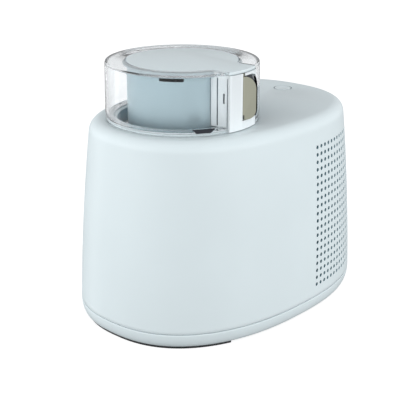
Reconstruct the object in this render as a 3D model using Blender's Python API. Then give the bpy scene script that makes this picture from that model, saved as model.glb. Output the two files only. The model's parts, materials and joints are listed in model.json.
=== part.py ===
"""Self-cooling ice cream maker, modelled as the pieces it is assembled from.

Frame: metres, +Z up, +X towards the control button. The origin is on the surface the machine stands
on, at the middle of the base outline. Lengths below are in millimetres and become metres in add_solid.
The body is an oval barrel. A round well at its -X end holds the bowl, and a lid with the drive motor
stands over the well. The compressor, condenser and fan fill the +X end.
"""

import math

import bmesh
import bpy
from mathutils import Matrix, Vector

MM = 0.001
GAP = 0.3

# Barrel: a superellipse that is a little fuller towards +X and shrinks with height
OVAL_A = 168.5
OVAL_B = 121.3
OVAL_POWER = 2.374
OVAL_EGG = 0.033
OVAL_POINTS = 48
SEAM_Z = 18.3
BODY_TOP = 214.8
SHOULDER_R = 13.2
TAPER_LINEAR = 0.048
TAPER_SQUARE = 0.044
WALL = 3.0
BASE_Z = 3.0
BASE_INSET = 5.7
SCREW_INSET = 13.8
FOOT_HALF_ANGLE = 58.8

# Lid, on the well's axis. The arm points to the long side that faces the user.
LID_X = -58.2
LID_R = 80.0
LID_TURN_REST = math.radians(3.5)
LID_FOOT = 215.4
LID_TOP = 275.2
CLEAR_WALL = 2.9
DRUM_R = 56.9
DRUM_BOTTOM = 207.0
CAP_R = 58.1
ARM_HALF = 21.5
RING_POINTS = 32

# Well and bowl
WELL_HOLE_R = 75.0
COLLAR_TOP = 217.1
BOWL_R = 63.0
BOWL_FLOOR = 84.0
BOWL_RIM = 203.5
LINER_R = 63.6
COIL_R = 68.7
COIL_TUBE_R = 2.4
JACKET_R = 84.0

# Drive in the lid: 12 teeth on the motor, 36 and 12 on the idler, 42 on the output
MODULE = 0.9
PINION_TEETH = 12
IDLER_TEETH = 36
OUTPUT_TEETH = 42
IDLER_BEARING = math.radians(60.0)
MOTOR_BEARING = math.radians(170.0)
SHAFT_R = 4.0

# Fold-out tab on the arm
TAB_AXIS_R = 78.2
TAB_AXIS_ANGLE = math.radians(-91.8)
TAB_LOW = 224.9
TAB_HIGH = 268.2
TAB_WIDTH = 15.5
TAB_LOW_CORNER = 8.5
TAB_TOP_CORNER = 15.0
TAB_AJAR = math.radians(17.0)
POCKET_R = 75.6
POCKET_END = -69.0
POCKET_CORNERS = (8.0, 20.0)

# Lock lug low on the skirt, beside the arm
LUG_TURN = math.radians(-35.5)
LUG_LOW = 218.0
LUG_HIGH = 222.4
LUG_HALF_LOW = 7.6
LUG_HALF_HIGH = 11.6

# Button, and the cooling parts at the +X end
BUTTON_X = 112.7
BUTTON_R = 9.4
FAN_CENTRE = (67.0, 50.0, 66.0)
FAN_R = 38.0
COMPRESSOR_CENTRE = (78.0, -45.0)
COMPRESSOR_R = 41.0
BOARD_Z = 192.0
BOARD_THICK = 1.6
INLET_Z = 41.0
PAN_CLEAR_Z = 6.8
CONDENSER_X = (27.0, 107.0)
CONDENSER_TOP = 126.0
SHROUD_X = (23.0, 111.0)

PLASTIC_MINT = ((0.69, 0.77, 0.79), 0.35, 0.0)
PLASTIC_DRUM = ((0.62, 0.72, 0.76), 0.3, 0.2)
PLASTIC_WHITE = ((0.82, 0.85, 0.86), 0.4, 0.0)
PLASTIC_CLEAR = ((0.9, 0.94, 0.95), 0.05, 0.0)
PLASTIC_BLACK = ((0.02, 0.02, 0.025), 0.5, 0.0)
NYLON = ((0.85, 0.84, 0.78), 0.5, 0.0)
RUBBER = ((0.03, 0.03, 0.035), 0.8, 0.0)
SILICONE = ((0.8, 0.85, 0.87), 0.6, 0.0)
ALUMINIUM = ((0.77, 0.78, 0.79), 0.35, 1.0)
STEEL = ((0.5, 0.51, 0.53), 0.35, 1.0)
COPPER = ((0.72, 0.38, 0.22), 0.3, 1.0)
BRASS = ((0.72, 0.55, 0.28), 0.35, 1.0)
GOLD = ((0.55, 0.49, 0.33), 0.3, 1.0)
FOAM = ((0.78, 0.72, 0.52), 0.9, 0.0)
ENAMEL_BLACK = ((0.015, 0.015, 0.017), 0.3, 0.0)
BOARD_GREEN = ((0.02, 0.16, 0.07), 0.5, 0.0)


# Tools ---------------------------------------------------------------------------------------------

def clear_scene():
    for item in list(bpy.data.objects):
        bpy.data.objects.remove(item, do_unlink=True)


def material(look):
    """One Principled material for a piece, from (colour, roughness, metallic)."""
    colour, roughness, metallic = look
    made = bpy.data.materials.new("finish")
    made.use_nodes = True
    shader = made.node_tree.nodes["Principled BSDF"]
    shader.inputs["Base Color"].default_value = (*colour, 1.0)
    shader.inputs["Roughness"].default_value = roughness
    shader.inputs["Metallic"].default_value = metallic
    return made


def add_empty(name, place, turn=0.0):
    empty = bpy.data.objects.new(name, None)
    empty.location = Vector(place) * MM
    empty.rotation_euler = (0.0, 0.0, turn)
    bpy.context.scene.collection.objects.link(empty)
    return empty


def add_solid(name, solid, look, place=(0.0, 0.0, 0.0), parent=None, turn=0.0):
    """Make one object from a bmesh drawn in millimetres about the piece's own origin."""
    bmesh.ops.recalc_face_normals(solid, faces=solid.faces)
    bmesh.ops.scale(solid, vec=(MM, MM, MM), verts=solid.verts)
    mesh = bpy.data.meshes.new(name)
    solid.to_mesh(mesh)
    solid.free()
    mesh.shade_smooth()
    mesh.set_sharp_from_angle(angle=math.radians(35.0))
    mesh.materials.append(material(look))
    piece = bpy.data.objects.new(name, mesh)
    piece.location = Vector(place) * MM
    piece.rotation_euler = (0.0, 0.0, turn)
    piece.parent = parent
    bpy.context.scene.collection.objects.link(piece)
    return piece


def combine(piece, solid, operation, place=(0.0, 0.0, 0.0), turn=0.0):
    """Join a helper solid to a piece, or cut it out, in the piece's own frame."""
    helper = add_solid(piece.name + "_" + operation.lower(), solid, STEEL, place, piece, turn)
    helper.hide_render = True
    helper.display_type = "WIRE"
    step = piece.modifiers.new(operation.title(), "BOOLEAN")
    step.operation = operation
    step.object = helper


def cut(piece, solid, place=(0.0, 0.0, 0.0), turn=0.0):
    combine(piece, solid, "DIFFERENCE", place, turn)


def fuse(piece, solid, place=(0.0, 0.0, 0.0), turn=0.0):
    combine(piece, solid, "UNION", place, turn)


def skin(rings, close_ends):
    """Solid through rings of points: capped at both ends, or closed from the last ring to the first."""
    solid = bmesh.new()
    loops = []
    for ring in rings:
        loops.append([solid.verts.new(point) for point in ring])
    count = len(loops[0])
    pairs = list(zip(loops, loops[1:]))
    if not close_ends:
        pairs.append((loops[-1], loops[0]))
    for low, high in pairs:
        for i in range(count):
            j = (i + 1) % count
            solid.faces.new((low[i], low[j], high[j], high[i]))
    if close_ends:
        solid.faces.new(loops[0])
        solid.faces.new(loops[-1])
    return solid


def lathe(profile, segments=RING_POINTS):
    """Solid turned about Z from a closed loop of (radius, z) points, which may touch the axis."""
    solid = bmesh.new()
    loops = []
    for radius, z in profile:
        if radius < 1e-6:
            loops.append([solid.verts.new((0.0, 0.0, z))])
        else:
            points = [polar(radius, math.tau * i / segments, z) for i in range(segments)]
            loops.append([solid.verts.new(point) for point in points])
    for here, there in zip(loops, loops[1:] + loops[:1]):
        for i in range(segments):
            j = (i + 1) % segments
            corners = [here[i % len(here)], here[j % len(here)], there[j % len(there)], there[i % len(there)]]
            unique = list(dict.fromkeys(corners))
            if len(unique) > 2:
                solid.faces.new(unique)
    return solid


def prism(outline, low, high):
    """Solid with a flat outline of (x, y) points between two heights."""
    return skin([[(x, y, z) for x, y in outline] for z in (low, high)], close_ends=True)


def box(low, high):
    outline = [(low[0], low[1]), (high[0], low[1]), (high[0], high[1]), (low[0], high[1])]
    return prism(outline, low[2], high[2])


def disc(radius, low, high, segments=16):
    return lathe([(0.0, low), (radius, low), (radius, high), (0.0, high)], segments)


def ring(inner, outer, low, high, segments=RING_POINTS):
    return lathe([(inner, low), (outer, low), (outer, high), (inner, high)], segments)


def lying(solid):
    """Turn a solid drawn along +Z so that it lies along +Y."""
    bmesh.ops.rotate(solid, verts=solid.verts, matrix=Matrix.Rotation(math.radians(-90.0), 3, "X"))
    return solid


def polar(radius, angle, z=None):
    flat = (radius * math.cos(angle), radius * math.sin(angle))
    return flat if z is None else (*flat, z)


def arc(centre, radius, start, end, steps):
    """Points on an arc from one angle to another, in degrees."""
    points = []
    for i in range(steps + 1):
        angle = math.radians(start + (end - start) * i / steps)
        points.append((centre[0] + radius * math.cos(angle), centre[1] + radius * math.sin(angle)))
    return points


def smooth_route(stops, per_span=4):
    """Catmull-Rom curve through the stops of a pipe."""
    stops = [Vector(stop) for stop in stops]
    ends = [2 * stops[0] - stops[1], *stops, 2 * stops[-1] - stops[-2]]
    route = []
    for before, here, there, after in zip(ends, ends[1:], ends[2:], ends[3:]):
        for i in range(per_span):
            t = i / per_span
            slope_in = (there - before) / 2
            slope_out = (after - here) / 2
            route.append(
                (2 * t**3 - 3 * t**2 + 1) * here + (t**3 - 2 * t**2 + t) * slope_in
                + (3 * t**2 - 2 * t**3) * there + (t**3 - t**2) * slope_out
            )
    route.append(stops[-1])
    return route


def add_tube(name, route, radius, look, resolution=0, parent=None):
    """Round tube or wire along a list of points."""
    curve = bpy.data.curves.new(name, "CURVE")
    curve.dimensions = "3D"
    curve.bevel_depth = radius * MM
    curve.bevel_resolution = resolution
    curve.use_fill_caps = True
    spline = curve.splines.new("POLY")
    spline.points.add(len(route) - 1)
    for point, place in zip(spline.points, route):
        point.co = (*(Vector(place) * MM), 1.0)
    curve.materials.append(material(look))
    piece = bpy.data.objects.new(name, curve)
    piece.parent = parent
    bpy.context.scene.collection.objects.link(piece)
    return piece


def helix(radius, low, high, turns, per_turn, centre=(0.0, 0.0)):
    points = []
    for i in range(round(turns * per_turn) + 1):
        angle = math.tau * i / per_turn
        z = high - (high - low) * i / (turns * per_turn)
        points.append((centre[0] + radius * math.cos(angle), centre[1] + radius * math.sin(angle), z))
    return points


def gear_outline(teeth, phase):
    """Straight-sided teeth, thin enough to leave running backlash, with one tooth centred on phase."""
    pitch = math.tau / teeth
    pitch_r = MODULE * teeth / 2
    outline = []
    for tooth in range(teeth):
        middle = phase + tooth * pitch
        for share, radius in ((-0.3, -1.25), (-0.09, 1.0), (0.09, 1.0), (0.3, -1.25)):
            outline.append(polar(pitch_r + radius * MODULE, middle + share * pitch))
    return outline


# Barrel --------------------------------------------------------------------------------------------

def oval_point(angle, scale=1.0, inset=0.0):
    """A point of the barrel's outline: the superellipse, scaled and then moved in by inset."""
    c, s = math.cos(angle), math.sin(angle)
    along = math.copysign(abs(c) ** (2 / OVAL_POWER), c)
    across = math.copysign(abs(s) ** (2 / OVAL_POWER), s)
    a = OVAL_A * scale - inset
    b = OVAL_B * scale - inset
    return (a * along, b * across * (1 + OVAL_EGG * along))


def oval(z, scale=1.0, inset=0.0):
    """One level of the barrel."""
    angles = [math.tau * i / OVAL_POINTS for i in range(OVAL_POINTS)]
    return [(*oval_point(angle, scale, inset), z) for angle in angles]


def taper(z):
    """Scale of the barrel at a height, 1 at the seam."""
    t = (z - SEAM_Z) / (BODY_TOP - SHOULDER_R - SEAM_Z)
    t = min(max(t, 0.0), 1.0)
    return 1 - TAPER_LINEAR * t - TAPER_SQUARE * t * t


def screw_places():
    """Four screws just inside the base pan's side, on the diagonals."""
    return [oval_point(math.radians(angle), 1.0, SCREW_INSET) for angle in (40.0, 140.0, 220.0, 320.0)]


def make_housing():
    outer = []
    shoulder_z = BODY_TOP - SHOULDER_R
    levels = 5
    for i in range(levels + 1):
        z = SEAM_Z + (shoulder_z - SEAM_Z) * i / levels
        outer.append(oval(z, taper(z)))
    for step in (30.0, 60.0, 90.0):
        lift = math.radians(step)
        inset = SHOULDER_R * (1 - math.cos(lift))
        outer.append(oval(shoulder_z + SHOULDER_R * math.sin(lift), taper(shoulder_z), inset))
    inner = []
    for z in (SEAM_Z, 80.0, 140.0, shoulder_z):
        inner.append(oval(z, taper(z), WALL))
    corner = WALL + (SHOULDER_R - WALL) * (1 - math.cos(math.radians(45.0)))
    inner.append(oval(BODY_TOP - WALL - 3.0, taper(shoulder_z), corner))
    inner.append(oval(BODY_TOP - WALL, taper(shoulder_z), SHOULDER_R))
    shell = bmesh.new()
    outer_loops = [[shell.verts.new(p) for p in level] for level in outer]
    inner_loops = [[shell.verts.new(p) for p in level] for level in inner]
    chain = list(reversed(inner_loops)) + outer_loops
    for low, high in zip(chain, chain[1:]):
        for i in range(OVAL_POINTS):
            j = (i + 1) % OVAL_POINTS
            shell.faces.new((low[i], low[j], high[j], high[i]))
    shell.faces.new(outer_loops[-1])
    shell.faces.new(inner_loops[-1])
    housing = add_solid("housing", shell, PLASTIC_MINT)
    cut(housing, disc(WELL_HOLE_R, BODY_TOP - 10.0, BODY_TOP + 10.0, RING_POINTS), (LID_X, 0.0, 0.0))
    cut(housing, disc(BUTTON_R + 0.7, BODY_TOP - 10.0, BODY_TOP + 10.0, 16), (BUTTON_X, 0.0, 0.0))
    cut(housing, box((-14.4, 95.0, INLET_Z - 11.4), (14.4, 140.0, INLET_Z + 11.4)))
    for x, y in screw_places():
        fuse(housing, disc(4.2, 7.0, 30.0, 12), (x, y, 0.0))
        fuse(housing, disc(11.6, 22.0, 30.0, 16), (x, y, 0.0))
        cut(housing, disc(1.9, 6.0, 24.0, 8), (x, y, 0.0))


def make_base_pan():
    """Tray below the seam, with a side that rounds inwards to the underside."""
    rise = SEAM_Z - GAP - BASE_Z
    rings = []
    for step in (0.0, 30.0, 60.0, 90.0):
        angle = math.radians(step)
        rings.append(oval(BASE_Z + rise * (1 - math.cos(angle)), 1.0, BASE_INSET * (1 - math.sin(angle))))
    rings.append(oval(SEAM_Z - GAP, 1.0, WALL))
    rings.append(oval(BASE_Z + 3.5, 1.0, BASE_INSET + 3.0))
    pan = add_solid("base_pan", skin(rings, close_ends=True), PLASTIC_MINT)
    for x, y in screw_places():
        cut(pan, disc(3.9, BASE_Z - 1.0, BASE_Z + 1.9, 12), (x, y, 0.0))
        cut(pan, disc(1.9, BASE_Z, BASE_Z + 5.0, 8), (x, y, 0.0))
    for column in range(5):
        slot_x = 40.0 + 18.0 * column
        cut(pan, box((slot_x - 4.0, -24.0, 0.0), (slot_x + 4.0, 24.0, BASE_Z + 5.0)))


def make_base_screws():
    for number, (x, y) in enumerate(screw_places(), 1):
        profile = [(0.0, 3.3), (3.5, 3.3), (3.5, 4.5), (1.5, 4.9), (1.5, 20.0), (0.0, 20.0)]
        add_solid(f"base_screw_{number}", lathe(profile, 8), STEEL, (x, y, 0.0))


def make_feet():
    """A crescent pad under the well end, and two round pads under the cooling end."""
    steps = 20
    angles = [math.radians(180.0 + FOOT_HALF_ANGLE * (2 * i / steps - 1)) for i in range(steps + 1)]
    outer = [oval_point(angle, 1.0, BASE_INSET + 0.4) for angle in angles]
    inner = [oval_point(angle, 1.0, BASE_INSET + 12.0) for angle in reversed(angles)]
    add_solid("front_foot", prism(outer + inner, 0.0, BASE_Z - GAP), RUBBER)
    for side, name in ((1, "rear_foot_left"), (-1, "rear_foot_right")):
        profile = [(0.0, 0.0), (8.0, 0.0), (9.0, 1.0), (9.0, BASE_Z - GAP), (0.0, BASE_Z - GAP)]
        add_solid(name, lathe(profile, 16), RUBBER, (104.0, side * 66.0, 0.0))


# Well ----------------------------------------------------------------------------------------------

def make_well(axis):
    collar = [
        (67.8, 201.5), (WELL_HOLE_R - GAP, 201.5), (WELL_HOLE_R - GAP, BODY_TOP + GAP),
        (76.5, BODY_TOP + GAP), (76.5, COLLAR_TOP - 0.6), (75.9, COLLAR_TOP),
        (68.6, COLLAR_TOP), (67.8, 216.3),
    ]
    add_solid("well_collar", lathe(collar), PLASTIC_MINT, parent=axis)
    liner = [
        (0.0, 78.5), (60.0, 78.5), (LINER_R + 1.5, 83.0), (LINER_R + 1.5, 199.2), (74.4, 199.2),
        (74.4, 201.2), (LINER_R, 201.2), (LINER_R, 84.0), (59.0, 80.0), (0.0, 80.0),
    ]
    add_solid("well_liner", lathe(liner), ALUMINIUM, parent=axis)
    jacket = [
        (0.0, 62.0), (JACKET_R, 62.0), (JACKET_R, 195.0), (72.0, 195.0), (72.0, 78.0), (0.0, 78.0),
    ]
    foam = add_solid("insulation_jacket", lathe(jacket), FOAM, parent=axis)
    cut(foam, box((60.0, -22.0, 80.0), (100.0, 22.0, 200.0)))
    coil = helix(COIL_R, 92.0, 186.0, 5, 20)
    add_tube("evaporator_coil", coil, COIL_TUBE_R, COPPER, parent=axis)
    pads = box((-8.0, -71.2, COLLAR_TOP + GAP), (8.0, -68.2, COLLAR_TOP + 1.1))
    add_solid("contact_strip", pads, BRASS, parent=axis, turn=LID_TURN_REST)
    stand = ring(40.0, 58.0, 6.8, 61.7, 24)
    add_solid("well_stand", stand, PLASTIC_WHITE, parent=axis)


def make_bowl(axis):
    """Removable bowl with a turned-out rim, and a pip in its floor that centres the paddle."""
    profile = [
        (0.0, 82.0), (54.0, 82.0), (60.5, 84.5), (BOWL_R, 91.0), (BOWL_R, 201.5),
        (66.5, 201.5), (66.9, 202.5), (66.5, BOWL_RIM), (61.5, BOWL_RIM), (61.5, 91.5),
        (59.3, 86.0), (53.5, BOWL_FLOOR), (5.0, BOWL_FLOOR), (4.0, 88.0), (0.0, 88.6),
    ]
    add_solid("ice_bowl", lathe(profile), ALUMINIUM, parent=axis)


# Lid -----------------------------------------------------------------------------------------------

def arm_outline(radius, half, inner_r):
    """Parallel-sided arm from the drum to the lid's rim, pointing along -Y."""
    edge = math.degrees(math.asin(half / radius))
    outer = arc((0.0, 0.0), radius, -90.0 - edge, -90.0 + edge, 8)
    edge = math.degrees(math.asin(half / inner_r))
    return outer + arc((0.0, 0.0), inner_r, -90.0 + edge, -90.0 - edge, 8)


def cap_outline(grow=0.0):
    """The cap's disc, blended by two fillets into the plate that covers the arm."""
    fillet = 6.0 - grow
    rim = LID_R - 0.9 + grow
    radius = CAP_R + grow
    half = ARM_HALF + grow
    centre_x = half + fillet
    centre_y = -math.sqrt((radius + fillet) ** 2 - centre_x**2)
    toward = math.degrees(math.atan2(-centre_y, -centre_x))
    start = math.degrees(math.atan2(centre_y, centre_x))
    outline = arc((0.0, 0.0), radius, start, 180.0 - start, 40)
    outline += arc((-centre_x, centre_y), fillet, 180.0 - toward, 0.0, 4)[1:]
    edge = math.degrees(math.asin(half / rim))
    outline += arc((0.0, 0.0), rim, -90.0 - edge, -90.0 + edge, 8)
    outline += arc((centre_x, centre_y), fillet, 180.0, toward, 4)[:-1]
    return outline


def make_clear_cover(axis):
    """Clear skirt with a rounded top, an inner ledge over the seal, and gaps for the arm, tab and lug."""
    inside = LID_R - CLEAR_WALL
    profile = [
        (inside, LID_FOOT), (LID_R, LID_FOOT), (LID_R - 0.7, LID_TOP - 4.0), (LID_R - 1.9, LID_TOP - 1.1),
        (LID_R - 4.6, LID_TOP), (CAP_R + 0.4, LID_TOP), (CAP_R + 0.4, LID_TOP - 3.0),
        (LID_R - 6.5, LID_TOP - 3.0), (LID_R - 3.9, LID_TOP - 5.0), (inside, 220.6), (71.0, 220.6),
        (71.0, 218.9), (inside, 218.9),
    ]
    cover = add_solid("clear_cover", lathe(profile), PLASTIC_CLEAR, parent=axis)
    cut(cover, box((-ARM_HALF - 0.4, -90.0, 210.0), (ARM_HALF + 0.4, -50.0, 280.0)))
    cut(cover, prism(cap_outline(0.4), 270.0, 280.0))
    cut(cover, lug_solid(0.3, 70.0, 90.0), turn=LUG_TURN)
    cut(cover, pocket_block((70.0, 90.0), POCKET_END, 0.0))


def lug_solid(grow, inner, outer):
    """Trapezium seen from outside, wider at its top, between two radii on the -Y side."""
    low, high = LUG_LOW - grow, LUG_HIGH + grow
    corners = [(-LUG_HALF_LOW, low), (LUG_HALF_LOW, low), (LUG_HALF_HIGH, high), (-LUG_HALF_HIGH, high)]
    rings = []
    for depth in (-inner, -outer):
        rings.append([(x + math.copysign(2.5 * grow, x), depth, z) for x, z in corners])
    return skin(rings, close_ends=True)


def make_lock_lug(axis):
    add_solid("lock_lug", lug_solid(0.0, 76.6, 78.9), PLASTIC_BLACK, parent=axis, turn=LUG_TURN)


def make_drum(axis):
    corner = arc((DRUM_R - 7.0, DRUM_BOTTOM + 7.0), 7.0, -90.0, 0.0, 3)
    inner_corner = arc((DRUM_R - 7.0, DRUM_BOTTOM + 7.0), 5.0, 0.0, -90.0, 3)
    top = LID_TOP - 3.5
    profile = [(7.3, DRUM_BOTTOM), *corner, (DRUM_R, top - 2.0), (61.5, top - 2.0), (61.5, top)]
    profile += [(DRUM_R - 2.0, top), *inner_corner, (7.3, DRUM_BOTTOM + 2.0)]
    drum = add_solid("drum_housing", lathe(profile), PLASTIC_DRUM, parent=axis)
    for turn in (88.5, 208.5, 328.5):
        cut(drum, box((40.0, -12.3, 264.3), (70.0, 12.3, 268.9)), turn=math.radians(turn))
    cut(drum, prism(arm_outline(LID_R, ARM_HALF + 0.4, DRUM_R + 0.3), top - 2.4, top + 1.0))


def make_arm_block(axis):
    """Hollow block between the drum and the rim, stepped underneath to clear the collar and seal."""
    top = LID_TOP - 3.6
    block = prism(arm_outline(LID_R, ARM_HALF, DRUM_R + 1.0), LID_FOOT, top)
    arm = add_solid("arm_block", block, PLASTIC_WHITE, parent=axis)
    cut(arm, ring(50.0, LID_R - CLEAR_WALL, LID_FOOT - 5.0, 219.2))
    cut(arm, box((-18.5, -72.0, 221.6), (18.5, -60.5, top + 1.0)))
    cut(arm, box((-9.4, -71.8, 210.0), (9.4, -67.0, 225.0)))
    cut(arm, pocket_block((POCKET_R, 90.0), POCKET_END, 0.0))
    hinge = polar(TAB_AXIS_R, TAB_AXIS_ANGLE)
    cut(arm, disc(2.4, TAB_LOW - 0.9, top + 1.0, 16), (*hinge, 0.0))
    cut(arm, disc(1.2, TAB_LOW - 3.4, TAB_LOW, 8), (*hinge, 0.0))


def make_top_cap(axis):
    low, high = LID_TOP - 3.0, LID_TOP - 0.2
    outline = cap_outline()
    inset = 0.6
    shrunk = [(x * (1 - inset / CAP_R), y * (1 - inset / CAP_R)) for x, y in outline]
    rings = []
    for points, z in ((outline, low), (outline, high - inset), (shrunk, high)):
        rings.append([(x, y, z) for x, y in points])
    add_solid("top_cap", skin(rings, close_ends=True), PLASTIC_MINT, parent=axis)


def make_seal(axis):
    low = COLLAR_TOP + GAP
    add_solid("lid_seal", ring(72.2, 76.2, low, low + 1.2), SILICONE, parent=axis)


def make_contact_block(axis):
    """Sprung contacts that meet the strip on the collar and feed the motor."""
    body = box((-9.0, -71.5, 219.4), (9.0, -67.3, 226.5))
    block = add_solid("contact_block", body, PLASTIC_BLACK, parent=axis)
    for x in (-5.0, 5.0):
        fuse(block, disc(1.1, 218.6, 221.0, 8), (x, -69.7, 0.0))


def add_drive(axis):
    """Motor, gearbox and output, from the motor pinion down to the paddle's socket."""
    idler = polar(MODULE * (OUTPUT_TEETH + PINION_TEETH) / 2, IDLER_BEARING)
    step = polar(MODULE * (IDLER_TEETH + PINION_TEETH) / 2, MOTOR_BEARING)
    motor = (idler[0] + step[0], idler[1] + step[1])
    half_tooth = math.pi / PINION_TEETH

    hole = SHAFT_R + 3.3
    cover = [(hole, 226.0), (47.0, 226.0), (47.0, 209.3), (49.5, 209.3), (49.5, 228.5), (hole, 228.5)]
    gearbox = add_solid("gearbox_cover", lathe(cover, 24), NYLON, parent=axis)
    cut(gearbox, disc(3.4, 220.0, 235.0, 12), (*motor, 0.0))
    cut(gearbox, disc(1.9, 220.0, 235.0, 12), (*idler, 0.0))
    add_solid("upper_bush", ring(SHAFT_R + GAP, SHAFT_R + 3.0, 224.5, 229.0, 16), BRASS, parent=axis)
    add_solid("lower_bush", ring(SHAFT_R + GAP, SHAFT_R + 3.0, 205.5, 211.2, 16), BRASS, parent=axis)

    add_solid("idler_pin", disc(1.5, 209.4, 229.5, 12), STEEL, (*idler, 0.0), axis)
    big_wheel = prism(gear_outline(IDLER_TEETH, MOTOR_BEARING), 219.0, 223.5)
    wheel = add_solid("idler_gear", big_wheel, NYLON, (*idler, 0.0), axis)
    small_phase = IDLER_BEARING + math.pi + half_tooth
    fuse(wheel, prism(gear_outline(PINION_TEETH, small_phase), 212.0, 220.0))
    cut(wheel, disc(1.8, 205.0, 230.0, 12))

    output_wheel = prism(gear_outline(OUTPUT_TEETH, IDLER_BEARING), 212.0, 217.5)
    gear = add_solid("output_gear", output_wheel, NYLON, parent=axis)
    cut(gear, disc(SHAFT_R + GAP, 205.0, 230.0, 16))
    add_solid("output_shaft", disc(SHAFT_R, 190.0, 230.0, 16), STEEL, parent=axis)

    can = [
        (2.4, 229.0), (18.5, 229.0), (18.5, 262.0), (6.0, 262.0), (6.0, 265.0),
        (0.0, 265.0), (0.0, 260.5), (17.0, 260.5), (17.0, 231.0), (2.4, 231.0),
    ]
    add_solid("motor_can", lathe(can, 20), STEEL, (*motor, 0.0), axis)
    armature = [
        (0.0, 219.0), (1.5, 219.0), (1.5, 233.0), (14.0, 233.0),
        (14.0, 254.0), (1.5, 254.0), (1.5, 260.0), (0.0, 260.0),
    ]
    add_solid("motor_armature", lathe(armature, 16), COPPER, (*motor, 0.0), axis)
    motor_phase = MOTOR_BEARING + math.pi + half_tooth
    teeth = prism(gear_outline(PINION_TEETH, motor_phase), 218.8, 225.0)
    pinion = add_solid("motor_pinion", teeth, BRASS, (*motor, 0.0), axis)
    cut(pinion, disc(1.8, 210.0, 230.0, 8))


def make_paddle(axis):
    """Churning paddle: a hub with a socket for the shaft, and an open frame that scrapes the bowl."""
    paddle = add_solid("paddle", disc(8.0, 92.0, 199.0, 20), NYLON, parent=axis)
    frame = box((-60.3, -2.0, 92.0), (60.3, 2.0, 176.0))
    fuse(paddle, frame)
    for side in (1, -1):
        for low, high in ((100.0, 130.0), (137.0, 166.0)):
            near, far = sorted((side * 13.0, side * 51.0))
            cut(paddle, box((near, -9.0, low), (far, 9.0, high)))
    cut(paddle, disc(SHAFT_R + 0.4, 189.0, 205.0, 16))
    cut(paddle, disc(4.8, 80.0, 96.0, 12))


def pocket_block(radii, last, inset):
    """The tab's pocket between two radii, up to a bearing in degrees, with its two far corners rounded."""
    inner, outer = radii
    first = math.degrees(TAB_AXIS_ANGLE) + 0.3 + inset
    bottom, top = TAB_LOW - 0.9 + 0.5 * inset, TAB_HIGH + 0.9 - 0.5 * inset
    steps = 14
    rings = []
    for i in range(steps + 1):
        share = 1 - (1 - i / steps) ** 1.6
        bearing = first + (last - first) * share
        from_end = math.radians(last - bearing) * LID_R
        drops = []
        for corner in POCKET_CORNERS:
            short = max(corner - from_end, 0.0)
            drop = corner - math.sqrt(max(corner**2 - short**2, 0.0))
            drops.append(min(drop, corner - 0.8))
        low, high = bottom + drops[0], top - drops[1]
        corners = ((inner, low), (outer, low), (outer, high), (inner, high))
        rings.append([(*polar(radius, math.radians(bearing)), z) for radius, z in corners])
    return skin(rings, close_ends=True)


def make_tab_backing(axis):
    """Dark plate that lines the back of the tab's pocket."""
    plate = pocket_block((POCKET_R + 0.3, POCKET_R + 1.4), POCKET_END - 0.6, 1.4)
    add_solid("tab_backing", plate, PLASTIC_BLACK, parent=axis)


def make_tab(axis):
    """Flat tab that rests slightly open on an upright pin, with a torsion spring below its barrel."""
    hinge = polar(TAB_AXIS_R, TAB_AXIS_ANGLE, 0.0)
    pivot = add_empty("tab_pivot", hinge, TAB_AXIS_ANGLE + math.pi / 2 - TAB_AJAR)
    pivot.parent = axis
    outline = [(0.0, TAB_LOW)]
    outline += arc((TAB_WIDTH - TAB_LOW_CORNER, TAB_LOW + TAB_LOW_CORNER), TAB_LOW_CORNER, -90.0, 0.0, 6)
    outline += arc((TAB_WIDTH - TAB_TOP_CORNER, TAB_HIGH - TAB_TOP_CORNER), TAB_TOP_CORNER, 0.0, 90.0, 10)
    outline += [(0.0, TAB_HIGH)]
    plate = skin([[(x, depth, z) for x, z in outline] for depth in (-1.8, 0.2)], close_ends=True)
    tab = add_solid("thumb_tab", plate, GOLD, parent=pivot)
    fuse(tab, disc(1.9, TAB_LOW + 5.0, TAB_HIGH, 12))
    cut(tab, disc(1.2, TAB_LOW, TAB_HIGH + 5.0, 10))
    cut(tab, disc(2.3, TAB_LOW - 1.0, TAB_LOW + 4.7, 12))
    pin = [(0.0, TAB_LOW - 3.0), (0.9, TAB_LOW - 3.0), (0.9, TAB_HIGH + 0.4), (1.7, TAB_HIGH + 0.4)]
    pin += [(1.7, TAB_HIGH + 3.0), (0.0, TAB_HIGH + 3.0)]
    add_solid("tab_pin", lathe(pin, 12), GOLD, hinge, axis)
    wire = helix(1.7, TAB_LOW + 0.4, TAB_LOW + 4.2, 3, 8)
    add_tube("tab_spring", wire, 0.25, STEEL, parent=pivot)


# Cooling end ---------------------------------------------------------------------------------------

def make_button():
    pivot = add_empty("button_axis", (BUTTON_X, 0.0, 0.0))
    proud = BODY_TOP + 0.3
    cap = [
        (0.0, 211.5), (7.6, 211.5), (7.6, 206.0), (BUTTON_R, 206.0), (BUTTON_R, BODY_TOP - 0.1),
        (BUTTON_R - 0.5, proud), (0.0, proud),
    ]
    button = add_solid("power_button", lathe(cap, 16), PLASTIC_MINT, parent=pivot)
    fuse(button, disc(1.8, 198.4, 212.5, 10))
    top = BODY_TOP - WALL - GAP
    bore = BUTTON_R + 0.5
    guide = [(2.6, 197.8), (12.5, 197.8), (12.5, top), (bore, top), (bore, 199.2), (2.6, 199.2)]
    add_solid("button_guide", lathe(guide, 16), PLASTIC_WHITE, (BUTTON_X, 0.0, 0.0))
    add_tube("button_spring", helix(4.2, 200.1, 210.7, 4, 8), 0.4, STEEL, parent=pivot)


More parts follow.
